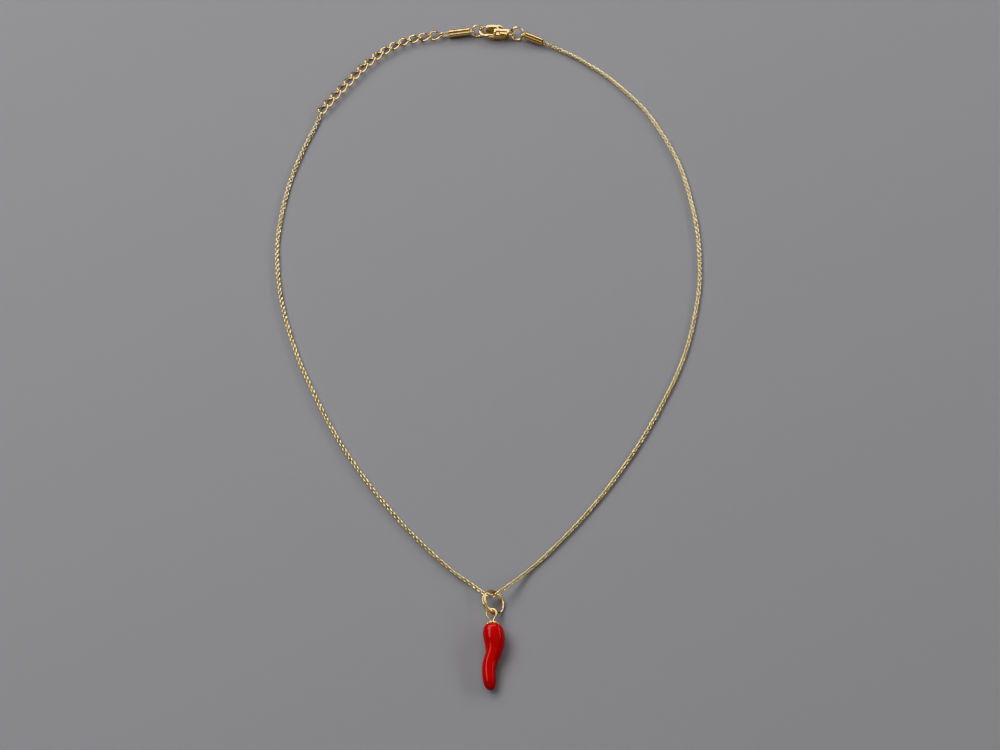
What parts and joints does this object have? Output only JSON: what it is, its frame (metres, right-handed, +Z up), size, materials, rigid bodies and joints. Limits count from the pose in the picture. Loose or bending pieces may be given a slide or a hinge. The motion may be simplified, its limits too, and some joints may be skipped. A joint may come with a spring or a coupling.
{
  "type": "charm necklace",
  "caption": "Fine gold-coloured chain necklace with a glossy red chili pepper charm, a lobster clasp and an extension of open curb links.",
  "frame": {"origin": "on the surface that the necklace lies on, under the middle of its bounding box", "axes": "+Y from the charm to the clasp, +Z up from the surface, +X to the right as it is seen from above with the clasp away from the viewer"},
  "size_m": [0.1136, 0.2019, 0.0054],
  "materials": {
    "red_enamel": "glossy enamel",
    "gold": "polished gold plating",
    "pin_gold": "satin gold plating"
  },
  "bodies": {
    "necklace": {"chili": "red_enamel", "charm_cap": "gold", "split_ring": "gold", "fine_chain_left": "gold", "fine_chain_right": "gold", "extension_link_01": "gold", "extension_link_02": "gold", "extension_link_03": "gold", "extension_link_04": "gold", "extension_link_05": "gold", "extension_link_06": "gold", "extension_link_07": "gold", "extension_link_08": "gold", "extension_link_09": "gold", "extension_link_10": "gold", "extension_link_11": "gold", "extension_link_12": "gold", "extension_link_13": "gold", "extension_link_14": "gold", "extension_link_15": "gold", "tube_left": "gold", "tube_right": "gold", "hook_ring": "gold", "tail_ring": "gold", "clasp_body": "gold", "clasp_pin": "pin_gold"},
    "lever": {"clasp_lever": "gold"}
  },
  "joints": [
    {"name": "lever_hinge", "type": "hinge", "parent": "necklace", "child": "lever", "pos_m": [0.00249, 0.09792, 0.00155], "axis": [-0.0169, 0.0015, 0.9999], "range_deg": [0, 18], "stiffness_Nm_per_rad": 0.004, "springref_deg": -2.29}
  ]
}
